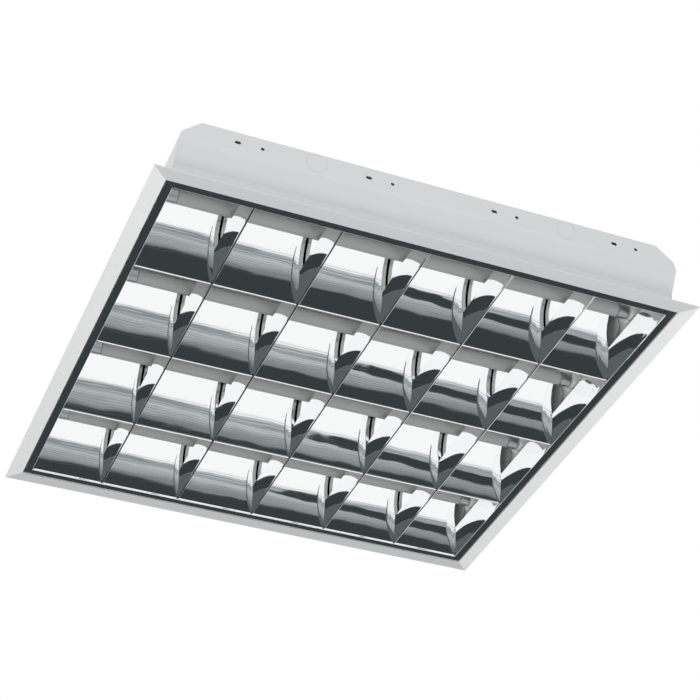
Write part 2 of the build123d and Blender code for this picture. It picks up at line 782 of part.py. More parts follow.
with BuildPart() as mains_wiring:
    under_beads = roof_under - bead_depth - 2 * wire_gap - wire_radius
    for side in (-1, 1):
        for lane in (0, 1):
            run_x = -ballast_length / 2 - 2 * ballast_foot + 4 * lane * wire_radius
            run_y = terminal_width / 2 + ballast_foot + 4 * lane * wire_radius
            entry_y = gear_row - (1 - lane) * wire_entry_pitch
            slot_x = terminal_x - (1 + lane) * terminal_pitch
            add(
                wire(
                    [
                        (-ballast_case / 2 + wire_entry_depth / 2, side * entry_y, entry_z),
                        (run_x + wire_bend, side * entry_y, entry_z),
                        (run_x, side * entry_y, entry_z + 2 * wire_bend),
                        (run_x, side * (entry_y - 2 * wire_bend), under_beads),
                        (run_x, side * run_y, under_beads),
                        (slot_x - 2 * wire_bend, side * run_y, under_beads),
                        (slot_x, side * run_y, terminal_z),
                        (slot_x, side * (terminal_width / 2 - terminal_depth / 2), terminal_z),
                    ],
                    1.1 * wire_bend / 2,
                )
            )
save(mains_wiring, "mains_wiring")
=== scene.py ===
"""Recessed troffer light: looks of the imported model, its studio and its camera.

Sizes of pieces are in metres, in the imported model's frame: +X along the lamps,
+Y across them, +Z up, with the origin at the centre of the rim's lower face.
"""

import math

import bmesh
import bpy
from mathutils import Euler, Matrix, Vector


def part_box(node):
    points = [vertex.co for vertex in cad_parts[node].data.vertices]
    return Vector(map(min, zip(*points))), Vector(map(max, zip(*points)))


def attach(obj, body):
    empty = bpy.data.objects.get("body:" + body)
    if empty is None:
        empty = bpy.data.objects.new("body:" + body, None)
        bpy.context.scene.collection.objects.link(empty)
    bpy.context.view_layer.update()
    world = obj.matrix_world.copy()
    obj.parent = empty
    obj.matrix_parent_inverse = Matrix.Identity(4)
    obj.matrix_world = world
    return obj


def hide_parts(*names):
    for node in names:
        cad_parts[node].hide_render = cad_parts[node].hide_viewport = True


bl_info = {
    "name": "Recessed Troffer Light",
    "version": (1, 0, 0),
    "blender": (4, 5, 0),
    "location": "View3D > Sidebar > Troffer",
    "description": "Builds the visible pieces of a recessed louvre light round its packed model",
    "category": "Object",
}

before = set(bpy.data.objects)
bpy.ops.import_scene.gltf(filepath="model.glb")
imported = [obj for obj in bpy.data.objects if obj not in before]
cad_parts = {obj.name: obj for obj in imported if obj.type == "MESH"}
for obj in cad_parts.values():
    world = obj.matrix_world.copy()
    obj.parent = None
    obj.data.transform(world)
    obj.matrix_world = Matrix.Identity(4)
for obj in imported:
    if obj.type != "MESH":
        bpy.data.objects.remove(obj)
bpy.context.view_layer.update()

MM = 0.001
# a row of points this close to a fold keeps the face beside it flat in the mirror
HOLD = 0.15 * MM
# folds sharper than this, in degrees, are shaded as edges
FOLD_LIMIT = 35.0
FOLD_RADIUS = 0.75 * MM
# closer points than this are one point
MERGE_DISTANCE = 1e-6
# spacing of the mesh rows round a reflector's curve and along it
CURVE_STEP = 1.8 * MM
LENGTH_STEP = 6.0 * MM
# cut upper corners of the reflectors: 20.5 mm along for 18 mm of height
CORNER_SLOPE = 20.5 / 18.0
# room left at a reflector's ends for the legs of the end reflectors
LEG_ROOM = 1.2 * MM
NOTCH_EXTRA = 0.4 * MM
# half the joint between two strips that meet at a mitre
MITRE_GAP = 0.12 * MM
# the lip stands this far inside the slot's edge, and starts this far above the curve
LIP_INSET = 0.05 * MM
LIP_RISE = 0.25 * MM
# the blades' curved sides: how far the middle bows out, in lower half widths
BLADE_BOW = 2.2
HEM_RADIUS = 0.8 * MM
# a blade's foot from the edge of its flat fold, as (x, z) steps
BLADE_FOOT = ((-HOLD, 0.0), (0.0, 0.1 * MM), (-0.05 * MM, 0.6 * MM))
# no row of a blade's side lies this close below or above the line where the windows begin
CLEAR_BELOW = 0.3 * MM
CLEAR_ABOVE = 0.6 * MM
# an end reflector's leg: how far its middle bows, and where it leaves its foot
LEG_BOW = 1.0 * MM
LEG_START = 0.2 * MM
# side on which a sheet gets its thickness: 1 in front of its faces, -1 behind them
ROW_SIDE = -1.0
SIDE_SIDE = 1.0
END_SIDE = 1.0
BLADE_SIDE = 1.0
# stage, in metres: half width of the floor, and the step from one floor panel up to the next
FLOOR_HALF = 14.0
PANEL_STEP = 0.005
CAMERA_PLACE = (-0.6674, -1.7476, -1.3002)
CAMERA_TURN = (126.184, 0.632, -22.873)
LAMP_COUNT = 4
ROW_EDGES = ("row_reflector_1", "row_reflector_2", "row_reflector_3")
BLADES = ("cross_blade_1", "cross_blade_2", "cross_blade_3", "cross_blade_4", "cross_blade_5")


# ------------------------------------------------------------------ sizes and colours
def length(name, description, default):
    """A length property, in metres."""
    return bpy.props.FloatProperty(
        name=name, description=description, default=default,
        unit="LENGTH", subtype="DISTANCE", precision=5,
    )


def colour(name, description, code):
    """A colour property whose default is an sRGB hex code."""
    return bpy.props.FloatVectorProperty(
        name=name, description=description, default=linear(code)[:3],
        subtype="COLOR", size=3, min=0.0, max=1.0,
    )


def linear(code):
    """sRGB hex code to linear RGBA."""
    values = [int(code[i : i + 2], 16) / 255 for i in (1, 3, 5)]
    return tuple(v / 12.92 if v <= 0.04045 else ((v + 0.055) / 1.055) ** 2.4 for v in values) + (1.0,)


class LouvreSizes(bpy.types.PropertyGroup):
    """Sizes of the mirror louvre."""

    apex_z: length("Parabola apex", "Height of the parabola's apex above the rim", 65.5 * MM)
    edge_z: length("Row edge height", "Height of the row reflectors' lower edge", 3.1 * MM)
    edge_half: length("Row edge half width", "Half the width of the folded lower edge", 0.8 * MM)
    edge_radius: length("Row edge radius", "Radius of the row reflectors' rounded lower edge", 1.386 * MM)
    inner_reach: length("Inner reach", "Lamp axis to a row reflector's lower edge", 71.95 * MM)
    outer_reach: length("Outer reach", "Lamp axis to the mirror strip at the sides", 65.35 * MM)
    slot_half: length("Lamp slot half width", "Half the open width above a lamp", 15.0 * MM)
    lip_height: length("Lip height", "Upright lip on a reflector's upper edge", 2.5 * MM)
    sheet: length("Reflector sheet", "Thickness of the reflector sheet", 0.5 * MM)
    blade_sheet: length("Blade sheet", "Thickness of the blade sheet", 0.4 * MM)
    strip_z: length("Mirror strip height", "Height of the flat strip's lower face", 1.0 * MM)
    strip_outer: length("Strip outer half", "Middle to the strip's outer edge", 292.6 * MM)
    strip_inner: length("Strip inner half", "Middle to the strip's inner edge", 283.6 * MM)
    end_trim: length("End trim", "Reflector ends set back from the strip's inner edge", 0.35 * MM)
    corner_z: length("Corner cut start", "Height where the reflectors' upper corners are cut", 52.5 * MM)
    blade_low: length("Blade bottom", "Height of a blade's lower edge", 1.8 * MM)
    blade_high: length("Blade top", "Height of a blade's upper edge", 33.5 * MM)
    blade_half_low: length("Blade half width below", "Half the width at a blade's lower edge", 0.7 * MM)
    blade_flat_half: length("Blade fold half width", "Half the width of the flat fold under a blade", 1.0 * MM)
    blade_half_high: length("Blade half width above", "Half the width at a blade's upper edge", 5.8 * MM)
    blade_gap_half: length("Blade hem gap", "Half the gap between a blade's turned-in upper hems", 1.4 * MM)
    bridge_top: length("Bridge top", "Top of the blade strip that passes under the rows", 4.8 * MM)
    fit_gap: length("Blade fit", "Blade ends to the mirror faces", 0.35 * MM)
    lean_in: length("End lean", "End reflectors lean in by this much at their top", 6.6 * MM)


class FinishColours(bpy.types.PropertyGroup):
    """Colours of the finishes."""

    enamel: colour("Enamel", "Stove enamel of the roof, the ends and their flanges", "#F8F9F8")
    # greyer than the real paint: painted shade, for the darker tone of the side walls under these lamps
    panel: colour("Side panel", "Stove enamel of the side panels and their flanges", "#D6D9D9")
    mirror: colour("Mirror", "High-gloss anodised aluminium", "#FAFBFB")
    # darker than real phosphor: painted shade, for the grey tone of the unlit tubes
    phosphor: colour("Phosphor", "Unlit coating seen through the lamp's glass", "#9EA1A0")
    cap: colour("Cap", "Satin aluminium of the lamp caps", "#A4A8AA")
    plastic: colour("Holder plastic", "White moulded polycarbonate", "#EFEFEA")
    zinc: colour("Zinc", "Zinc-plated steel", "#C3C6C8")
    floor: colour("Floor", "Pale studio floor", "#FCFDFD")


class StageSettings(bpy.types.PropertyGroup):
    """Floor, light and camera."""

    floor_z: length("Floor height", "Height of the floor below the rim", -2.4)
    lens: bpy.props.FloatProperty(
        name="Lens", description="Focal length in millimetres", default=100.53
    )
    shift: bpy.props.FloatProperty(name="Shift", description="Sideways lens shift", default=-0.0714)
    world_light: bpy.props.FloatProperty(
        name="World light", description="Strength of the world on the object", default=0.58, min=0.0
    )
    below_power: bpy.props.FloatProperty(
        name="Lower softbox", description="Power of the softbox below, in watts",
        default=20.0, min=0.0,
    )
    side_power: bpy.props.FloatProperty(
        name="Side softbox", description="Power of the softbox beside the light, in watts",
        default=18.0, min=0.0,
    )


# ------------------------------------------------------------------ small helpers
def tidy_object(name, mesh):
    """Link a mesh as an object at the origin."""
    obj = bpy.data.objects.new(name, mesh)
    bpy.context.scene.collection.objects.link(obj)
    return obj


def grid_mesh(name, rows, keep=None):
    """Mesh from rows of points; keep(i, j) says which quads stay. Sharp folds stay sharp."""
    bm = bmesh.new()
    verts = [[bm.verts.new(p) for p in row] for row in rows]
    for i in range(len(rows) - 1):
        for j in range(len(rows[0]) - 1):
            if keep is None or keep(i, j):
                bm.faces.new((verts[i][j], verts[i + 1][j], verts[i + 1][j + 1], verts[i][j + 1]))
    loose = [v for v in bm.verts if not v.link_faces]
    bmesh.ops.delete(bm, geom=loose, context="VERTS")
    return finish_mesh(name, bm)


def finish_mesh(name, bm):
    """Merge doubles, shade smooth with sharp folds, and make a mesh."""
    bmesh.ops.remove_doubles(bm, verts=bm.verts, dist=MERGE_DISTANCE)
    for face in bm.faces:
        face.smooth = True
    mesh = bpy.data.meshes.new(name)
    bm.to_mesh(mesh)
    bm.free()
    mesh.set_sharp_from_angle(angle=math.radians(FOLD_LIMIT))
    return mesh


def bend(corner, before, after, radius, steps=4):
    """Points of a rounded bend at a corner between two straight runs of a section."""
    a = (Vector(before) - Vector(corner)).normalized()
    b = (Vector(after) - Vector(corner)).normalized()
    half = a.angle(b) / 2
    run = radius / math.tan(half)
    centre = Vector(corner) + (a + b).normalized() * (radius / math.sin(half))
    start = Vector(corner) + a * run - centre
    end = Vector(corner) + b * run - centre
    turn = start.angle_signed(end)
    points = []
    for i in range(steps + 1):
        spoke = start.copy()
        spoke.rotate(Matrix.Rotation(-turn * i / steps, 2))
        points.append(tuple(centre + spoke))
    return points


def thicken(obj, thickness, side):
    """Give a sheet its thickness on one side, and keep a plain mesh."""
    modifier = obj.modifiers.new("sheet", "SOLIDIFY")
    modifier.thickness = thickness
    modifier.offset = side
    modifier.use_even_offset = True
    bake(obj)
    obj.data.set_sharp_from_angle(angle=math.radians(FOLD_LIMIT))


def bake(obj):
    """Replace an object's modifiers by their result."""
    depsgraph = bpy.context.evaluated_depsgraph_get()
    mesh = bpy.data.meshes.new_from_object(obj.evaluated_get(depsgraph), depsgraph=depsgraph)
    obj.modifiers.clear()
    obj.data = mesh
    return obj


def paint(obj, material):
    """Give every material slot of a piece one material."""
    obj.data.materials.clear()
    obj.data.materials.append(material)


def paint_node(name, material):
    """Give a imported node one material."""
    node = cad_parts[name]
    if not node.material_slots:
        node.data.materials.append(material)
    for item in node.material_slots:
        item.material = material


def stations(start, end, step, marks=()):
    """Evenly spaced values from start to end, with the marks among them."""
    count = max(1, round(abs(end - start) / step))
    values = [start + (end - start) * i / count for i in range(count + 1)]
    for mark in marks:
        values = [v for v in values if abs(v - mark) > 0.2 * step or v in (start, end)]
        values.append(mark)
    return sorted(set(values), reverse=end < start)


# ------------------------------------------------------------------ materials
def add_node(tree, kind, links=None, **settings):
    """Add a node: settings name its attributes or inputs, links name inputs and their sources."""
    node = tree.nodes.new(kind)
    for key, value in settings.items():
        if hasattr(node, key):
            setattr(node, key, value)
        else:
            node.inputs[key.replace("_", " ")].default_value = value
    for key, source in (links or {}).items():
        tree.links.new(source, node.inputs[key])
    return node


def new_material(name, **constants):
    """Material with one Principled shader; constants are set on its own sockets."""
    material = bpy.data.materials.new(name)
    material.use_nodes = True
    tree = material.node_tree
    shader = tree.nodes["Principled BSDF"]
    for key, value in constants.items():
        shader.inputs[key.replace("_", " ")].default_value = value
    return material, tree, shader


def rgba(value):
    """A property's colour as RGBA."""
    return tuple(value) + (1.0,)


def spread_noise(tree, noise, low, high):
    """Map the middle range of a noise to two values."""
    return add_node(
        tree, "ShaderNodeMapRange", {"Value": noise.outputs["Fac"]},
        From_Min=0.3, From_Max=0.7, To_Min=low, To_Max=high,
    )


def enamel_material(name, code):
    """Stove enamel, sprayed on steel: satin paint with the faintest orange peel."""
    material, tree, shader = new_material(name, Base_Color=rgba(code))
    place = add_node(tree, "ShaderNodeTexCoord")
    # orange peel about 1.6 mm across, drawn at 4 mm so that it shows
    peel = add_node(
        tree, "ShaderNodeTexNoise", {"Vector": place.outputs["Object"]}, Scale=250.0, Detail=2.0
    )
    # slow hollows of the folded sheet, about 120 mm across
    hollow = add_node(
        tree, "ShaderNodeTexNoise", {"Vector": place.outputs["Object"]}, Scale=8.0, Detail=1.0
    )
    bump = add_node(
        tree, "ShaderNodeBump", {"Height": peel.outputs["Fac"]}, Strength=0.06, Distance=0.0004
    )
    slow = add_node(
        tree, "ShaderNodeBump", {"Height": hollow.outputs["Fac"], "Normal": bump.outputs["Normal"]},
        Strength=0.25, Distance=0.002,
    )
    tree.links.new(slow.outputs["Normal"], shader.inputs["Normal"])
    wear = spread_noise(tree, hollow, 0.34, 0.44)
    tree.links.new(wear.outputs["Result"], shader.inputs["Roughness"])
    return material


def mirror_material(name):
    """Aluminium, rolled, brightened and anodised: a mirror with slow waves of the thin sheet."""
    material, tree, shader = new_material(
        name,
        Base_Color=rgba(bpy.context.scene.troffer_colours.mirror),
        Metallic=1.0,
    )
    place = add_node(tree, "ShaderNodeTexCoord")
    # the sheet's own waves, about 45 mm across
    wave = add_node(
        tree, "ShaderNodeTexNoise", {"Vector": place.outputs["Object"]}, Scale=22.0, Detail=1.0
    )
    bump = add_node(
        tree, "ShaderNodeBump", {"Height": wave.outputs["Fac"]}, Strength=0.5, Distance=0.0006
    )
    tree.links.new(bump.outputs["Normal"], shader.inputs["Normal"])
    # rolling lines along the sheet, drawn 2 mm apart
    spread = add_node(
        tree, "ShaderNodeMapping", {"Vector": place.outputs["Object"]}, Scale=(6.0, 500.0, 500.0)
    )
    line = add_node(
        tree, "ShaderNodeTexNoise", {"Vector": spread.outputs["Vector"]}, Scale=1.0, Detail=2.0
    )
    haze = spread_noise(tree, line, 0.02, 0.06)
    tree.links.new(haze.outputs["Result"], shader.inputs["Roughness"])
    return material


def phosphor_material(name):
    """Soda-lime glass tube, coated inside with phosphor: matt under a clear gloss, in a colour darkened as
    painted shade.
    """
    material, tree, shader = new_material(
        name,
        Base_Color=rgba(bpy.context.scene.troffer_colours.phosphor),
        Coat_Weight=0.6,
        Coat_Roughness=0.05,
        Coat_IOR=1.5,
    )
    place = add_node(tree, "ShaderNodeTexCoord")
    # uneven coating, patches about 30 mm long
    cloud = add_node(
        tree, "ShaderNodeTexNoise", {"Vector": place.outputs["Object"]}, Scale=30.0, Detail=3.0
    )
    tone = spread_noise(tree, cloud, 0.5, 0.62)
    tree.links.new(tone.outputs["Result"], shader.inputs["Roughness"])
    return material


def metal_material(name, code_value, roughness, grain):
    """Brushed or plated metal with a fine grain, whose size is in metres: a broken satin gloss."""
    material, tree, shader = new_material(name, Base_Color=rgba(code_value), Metallic=1.0)
    place = add_node(tree, "ShaderNodeTexCoord")
    cell = add_node(
        tree, "ShaderNodeTexNoise", {"Vector": place.outputs["Object"]}, Scale=1.0 / grain, Detail=3.0
    )
    tone = spread_noise(tree, cell, 0.8 * roughness, 1.25 * roughness)
    tree.links.new(tone.outputs["Result"], shader.inputs["Roughness"])
    bump = add_node(
        tree, "ShaderNodeBump", {"Height": cell.outputs["Fac"]}, Strength=0.1, Distance=0.0001
    )
    tree.links.new(bump.outputs["Normal"], shader.inputs["Normal"])
    return material


def moulded_material(name, code_value, roughness):
    """Injection-moulded plastic with a fine spark-eroded texture."""
    material, tree, shader = new_material(name, Base_Color=rgba(code_value), Roughness=roughness)
    place = add_node(tree, "ShaderNodeTexCoord")
    # erosion texture about 0.3 mm, drawn at 0.8 mm so that it shows
    pit = add_node(
        tree, "ShaderNodeTexNoise", {"Vector": place.outputs["Object"]}, Scale=1250.0, Detail=2.0
    )
    bump = add_node(
        tree, "ShaderNodeBump", {"Height": pit.outputs["Fac"]}, Strength=0.15, Distance=0.0001
    )
    tree.links.new(bump.outputs["Normal"], shader.inputs["Normal"])
    return material


def finish(name):
    """One finish by name, made once."""
    if name in bpy.data.materials:
        return bpy.data.materials[name]
    colours = bpy.context.scene.troffer_colours
    makers = {
        "white_stove_enamel": (enamel_material, colours.enamel),
        # a greyer copy of the white enamel: painted shade for the side walls
        "grey_white_stove_enamel": (enamel_material, colours.panel),
        "satin_cap_aluminium": (metal_material, colours.cap, 0.32, 0.0006),
        "zinc_plated_steel": (metal_material, colours.zinc, 0.36, 0.004),
        "bright_spring_steel": (metal_material, linear("#B4B7BA")[:3], 0.25, 0.002),
        "plated_brass": (metal_material, linear("#C9A65A")[:3], 0.28, 0.002),
        "moulded_polycarbonate": (moulded_material, colours.plastic, 0.34),
        "moulded_rotor_plastic": (moulded_material, linear("#DEDFDA")[:3], 0.45),
        "grey_terminal_polyamide": (moulded_material, linear("#C8CAC8")[:3], 0.5),
        "moulded_rubber": (moulded_material, linear("#1D1E1F")[:3], 0.7),
        "white_wire_pvc": (moulded_material, linear("#E6E6E2")[:3], 0.42),
        "grey_wire_pvc": (moulded_material, linear("#B9BDBF")[:3], 0.42),
        "bright_anodised_aluminium": (mirror_material,),
        "phosphor_coated_glass": (phosphor_material,),
    }
    maker, *values = makers[name]
    return maker(name, *values)


# ------------------------------------------------------------------ louvre shapes
def trough_z(sizes, s, reach):
    """Height of the mirror face at distance s from the lamp axis."""
    return sizes.apex_z - (sizes.apex_z - sizes.edge_z) * (s / reach) ** 2


def trough_s(sizes, z, reach):
    """Distance from the lamp axis at which the mirror face has height z."""
    return reach * math.sqrt((sizes.apex_z - z) / (sizes.apex_z - sizes.edge_z))


def bezier(a, b, c, t):
    """Point on a quadratic curve."""
    return tuple((1 - t) ** 2 * p + 2 * t * (1 - t) * q + t * t * r for p, q, r in zip(a, b, c))


def node_x(name):
    """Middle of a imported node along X."""
    low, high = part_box(name)
    return (low[0] + high[0]) / 2


def node_y(name):
    """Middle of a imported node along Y."""
    low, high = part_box(name)
    return (low[1] + high[1]) / 2


def lamp_y(number):
    """Lamp axis across the light."""
    return node_y(f"lamp_tube_{number}")


def trough_profile(sizes, reach, notch_z):
    """One mirror face from its lower edge to the top of its lip, as (s, z) points."""
    marks = [trough_s(sizes, notch_z, reach)]
    steps = stations(reach, sizes.slot_half, CURVE_STEP, marks)
    steps.insert(1, reach - HOLD)
    points = [(s, trough_z(sizes, s, reach)) for s in steps]
    top = points[-1][1]
    points.append((sizes.slot_half - LIP_INSET, top + LIP_RISE))
    points.append((sizes.slot_half - LIP_INSET, top + sizes.lip_height))
    return points


def half_length(sizes):
    """Half length of the reflectors and blades."""
    return sizes.strip_inner - sizes.end_trim


def notch_size(sizes):
    """Top of the notches for the blades, and half their width."""
    top = sizes.bridge_top + sizes.fit_gap
    return top, sizes.blade_half_low + sizes.fit_gap + NOTCH_EXTRA


def end_limit(sizes, z):
    """Half length of a reflector at height z, with its upper corners cut."""
    return half_length(sizes) - max(0.0, z - sizes.corner_z) * CORNER_SLOPE


def lengthwise(sizes, notch_half):
    """Stations along the reflectors, with both sides of every notch."""
    half = half_length(sizes)
    marks = [node_x(b) + w * notch_half for b in BLADES for w in (-1, 1)]
    return stations(-half, half, LENGTH_STEP, marks + [-half + LEG_ROOM, half - LEG_ROOM])


def reflector_rows(sizes, section, xs):
    """Points of a reflector: section points (y, z) by stations x, shortened where corners are cut."""
    half = half_length(sizes)
    return [[(x / half * min(half, end_limit(sizes, z)), y, z) for x in xs] for y, z in section]


def nothing_in_notches(sizes, section, xs, notch_z, notch_half):
    """keep(i, j) that leaves out the quads in the notches where blades and end reflectors pass."""
    centres = [node_x(b) for b in BLADES]
    half = half_length(sizes)

    def keep(i, j):
        z = max(section[i][1], section[i + 1][1])
        x = (xs[j] + xs[j + 1]) / 2
        inside = any(abs(x - c) < notch_half for c in centres) or abs(x) > half - LEG_ROOM
        return not (inside and z <= notch_z + MERGE_DISTANCE)

    return keep


def nose(radius, z, slope=60.0, steps=5):
    """Rounded lower edge between two faces that meet it at the same slope, as (y, z) points."""
    angles = [math.radians(-slope + slope * i / steps) for i in range(2 * steps + 1)]
    return [(radius * math.sin(a), z + radius - radius * math.cos(a)) for a in angles]


def row_reflector_mesh(sizes):
    """Row reflector about its own edge: two mirror faces and the rounded fold between them."""
    notch_z, notch_half = notch_size(sizes)
    face = trough_profile(sizes, sizes.inner_reach, notch_z)
    pitch_half = sizes.inner_reach + sizes.edge_half
    edge = nose(sizes.edge_radius, sizes.edge_z)
    right = [(pitch_half - s, z) for s, z in face if z > edge[-1][1] + HOLD]
    left = [(-y, z) for y, z in reversed(right)]
    section = left + edge + right
    xs = lengthwise(sizes, notch_half)
    keep = nothing_in_notches(sizes, section, xs, notch_z, notch_half)
    return grid_mesh("row_reflector", reflector_rows(sizes, section, xs), keep)


def side_reflector_mesh(sizes):
    """Front side reflector: trough face, riser and flat mitred strip."""
    notch_z, notch_half = notch_size(sizes)
    axis_y = lamp_y(1)
    face = trough_profile(sizes, sizes.outer_reach, notch_z)
    corner = (-sizes.strip_inner, sizes.strip_z)
    outer = (-sizes.strip_outer, sizes.strip_z)
    # the point 1 m up only gives the riser's direction
    foot = bend(corner, (corner[0], 1.0), outer, FOLD_RADIUS)
    foot.append((foot[-1][0] - HOLD, sizes.strip_z))
    foot.append(outer)
    section = [(axis_y - s, z) for s, z in reversed(face)]
    cut_rows = len(section) - 1
    section.append((corner[0], foot[0][1] + HOLD))
    section += foot
    xs = lengthwise(sizes, notch_half)
    within = nothing_in_notches(sizes, section, xs, notch_z, notch_half)
    half = half_length(sizes)
    rows = []
    for y, z in section:
        reach = max(half, abs(y) - MITRE_GAP) if z < sizes.edge_z else min(half, end_limit(sizes, z))
        rows.append([(x / half * reach, y, z) for x in xs])
    return grid_mesh("side_reflector", rows, lambda i, j: i > cut_rows or within(i, j))


def window_half(sizes, z, reach):
    """Half width of the blade window at height z."""
    return trough_s(sizes, z, reach) - sizes.fit_gap


def row_reach(sizes, number, way):
    """Reach of a row's parabola towards one side."""
    outer = (number == 1 and way < 0) or (number == LAMP_COUNT and way > 0)
    return sizes.outer_reach if outer else sizes.inner_reach


def blade_faces(sizes, name, section, floor_count):
    """Blade from (x, z) section points: a low strip right across, and a window in every row.

    floor_count is how many section points, from the first, lie in the low strip on one side;
    the section is mirrored and starts at the bottom.
    """
    half = half_length(sizes)
    bm = bmesh.new()
    spread = [i / 12 - 1 for i in range(25)]

    def window_ys(number, z):
        centre = lamp_y(number)
        return [centre + u * window_half(sizes, z, row_reach(sizes, number, u)) for u in spread]

    low_ys = [-half]
    for number in range(1, LAMP_COUNT + 1):
        low_ys += window_ys(number, sizes.bridge_top)
    low_ys.append(half)
    bm.from_mesh(grid_mesh(name, [[(x, y, z) for y in low_ys] for x, z in section[:floor_count]]))
    for number in range(1, LAMP_COUNT + 1):
        rows = [[(x, y, z) for y in window_ys(number, z)] for x, z in section[floor_count - 1 :]]
        bm.from_mesh(grid_mesh(name, rows))
    return bm


def cross_blade_mesh(sizes):
    """Cross blade about its own middle: a narrow V with curved ends in every row."""
    low = (sizes.blade_half_low, sizes.blade_low)
    middle = (BLADE_BOW * sizes.blade_half_low, (sizes.blade_low + sizes.blade_high) / 2)
    high = (sizes.blade_half_high, sizes.blade_high)
    curve = [bezier(low, middle, high, i / 200) for i in range(201)]
    below = [p for p in curve if p[1] < sizes.bridge_top - CLEAR_BELOW][-1]
    split = min(curve, key=lambda p: abs(p[1] - sizes.bridge_top))
    above = [bezier(low, middle, high, t / 20) for t in range(2, 20)]
    above = [p for p in above if p[1] > sizes.bridge_top + CLEAR_ABOVE]
    hem = bend(high, above[-1], (0.0, high[1]), HEM_RADIUS)
    hem.append((sizes.blade_gap_half, sizes.blade_high))
    foot = [(0.0, sizes.blade_low)]
    foot += [(sizes.blade_flat_half + x, sizes.blade_low + z) for x, z in BLADE_FOOT]
    foot += [below, (split[0], sizes.bridge_top)]
    bm = blade_faces(sizes, "blade", foot + above + hem, len(foot))
    copy = bmesh.ops.duplicate(bm, geom=bm.verts[:] + bm.edges[:] + bm.faces[:])["geom"]
    verts = [v for v in copy if isinstance(v, bmesh.types.BMVert)]
    faces = [f for f in copy if isinstance(f, bmesh.types.BMFace)]
    for vert in verts:
        vert.co.x = -vert.co.x
    bmesh.ops.reverse_faces(bm, faces=faces)
    return finish_mesh("cross_blade", bm)


def end_reflector_mesh(sizes):
    """Left end reflector: a single leaning leg on its flat mitred strip."""
    low = (-sizes.strip_inner, sizes.strip_z)
    middle = (-sizes.strip_inner + LEG_BOW, (sizes.strip_z + sizes.blade_high) / 2)
    high = (-sizes.strip_inner + sizes.lean_in, sizes.blade_high)
    above = [bezier(low, middle, high, t / 20) for t in range(3, 21)]
    outer = (-sizes.strip_outer, sizes.strip_z)
    fold = bend(low, outer, (low[0], 1.0), FOLD_RADIUS)
    fold += [(low[0], fold[-1][1] + HOLD), (low[0] + LEG_START, sizes.bridge_top)]
    bm = blade_faces(sizes, "end_leg", fold + above, len(fold))
    rows = []
    for x in (outer[0], fold[0][0] - HOLD, fold[0][0]):
        reach = abs(x) - MITRE_GAP
        rows.append([(x, -reach + 2 * reach * i / 40, sizes.strip_z) for i in range(41)])
    bm.from_mesh(grid_mesh("end_strip", rows))
    return finish_mesh("end_reflector", bm)


def copies_along(name, mesh, axis, places, material):
    """Geometry Nodes: the mesh at evenly spaced places along one axis, as one plain mesh."""
    tree = bpy.data.node_groups.new(name + "_repeat", "GeometryNodeTree")
    tree.is_modifier = True
    interface = tree.interface
    interface.new_socket("Geometry", in_out="INPUT", socket_type="NodeSocketGeometry")
    count_socket = interface.new_socket("Count", in_out="INPUT", socket_type="NodeSocketInt")
    start_socket = interface.new_socket("Start", in_out="INPUT", socket_type="NodeSocketVector")
    pitch_socket = interface.new_socket("Pitch", in_out="INPUT", socket_type="NodeSocketVector")
    finish_socket = interface.new_socket("Finish", in_out="INPUT", socket_type="NodeSocketMaterial")
    interface.new_socket("Geometry", in_out="OUTPUT", socket_type="NodeSocketGeometry")
    given = add_node(tree, "NodeGroupInput").outputs
    line = add_node(
        tree, "GeometryNodeMeshLine",
        {"Count": given["Count"], "Start Location": given["Start"], "Offset": given["Pitch"]},
    )
    placed = add_node(
        tree, "GeometryNodeInstanceOnPoints", {"Points": line.outputs["Mesh"], "Instance": given["Geometry"]}
    )
    real = add_node(tree, "GeometryNodeRealizeInstances", {"Geometry": placed.outputs["Instances"]})
    dressed = add_node(
        tree, "GeometryNodeSetMaterial", {"Geometry": real.outputs["Geometry"], "Material": given["Finish"]}
    )
    add_node(tree, "NodeGroupOutput", {"Geometry": dressed.outputs["Geometry"]})
    obj = tidy_object(name, mesh)
    modifier = obj.modifiers.new("repeat", "NODES")
    modifier.node_group = tree
    direction = Vector(axis)
    modifier[count_socket.identifier] = len(places)
    modifier[start_socket.identifier] = direction * places[0]
    modifier[pitch_socket.identifier] = direction * ((places[-1] - places[0]) / max(1, len(places) - 1))
    modifier[finish_socket.identifier] = material
    return bake(obj)


def turned(mesh, name):
    """Copy of a mesh turned half a turn about the upright axis."""
    other = mesh.copy()
    other.name = name
    for vert in other.vertices:
        vert.co.x, vert.co.y = -vert.co.x, -vert.co.y
    return other


# ------------------------------------------------------------------ operators: the object
class TROFFER_OT_tray(bpy.types.Operator):
    """Enamel on the folded steel tray."""

    bl_idname = "troffer.tray"
    bl_label = "Tray"

    def execute(self, context):
        paint_node("housing_pan", finish("white_stove_enamel"))
        # the side panels get the greyer copy of the enamel: painted shade on the side walls
        for name in ("side_panel_front", "side_panel_rear"):
            paint_node(name, finish("grey_white_stove_enamel"))
        return {"FINISHED"}


class TROFFER_OT_row_reflectors(bpy.types.Operator):
    """Row reflectors between the lamps, one shape repeated across the light."""

    bl_idname = "troffer.row_reflectors"
    bl_label = "Row Reflectors"

    def execute(self, context):
        sizes = context.scene.troffer_louvre
        base = tidy_object("row_reflector_sheet", row_reflector_mesh(sizes))
        thicken(base, sizes.sheet, ROW_SIDE)
        places = [node_y(name) for name in ROW_EDGES]
        mirror = finish("bright_anodised_aluminium")
        piece = copies_along("row_reflectors", base.data, (0, 1, 0), places, mirror)
        bpy.data.objects.remove(base)
        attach(piece, "louvre")
        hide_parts(*ROW_EDGES)
        return {"FINISHED"}


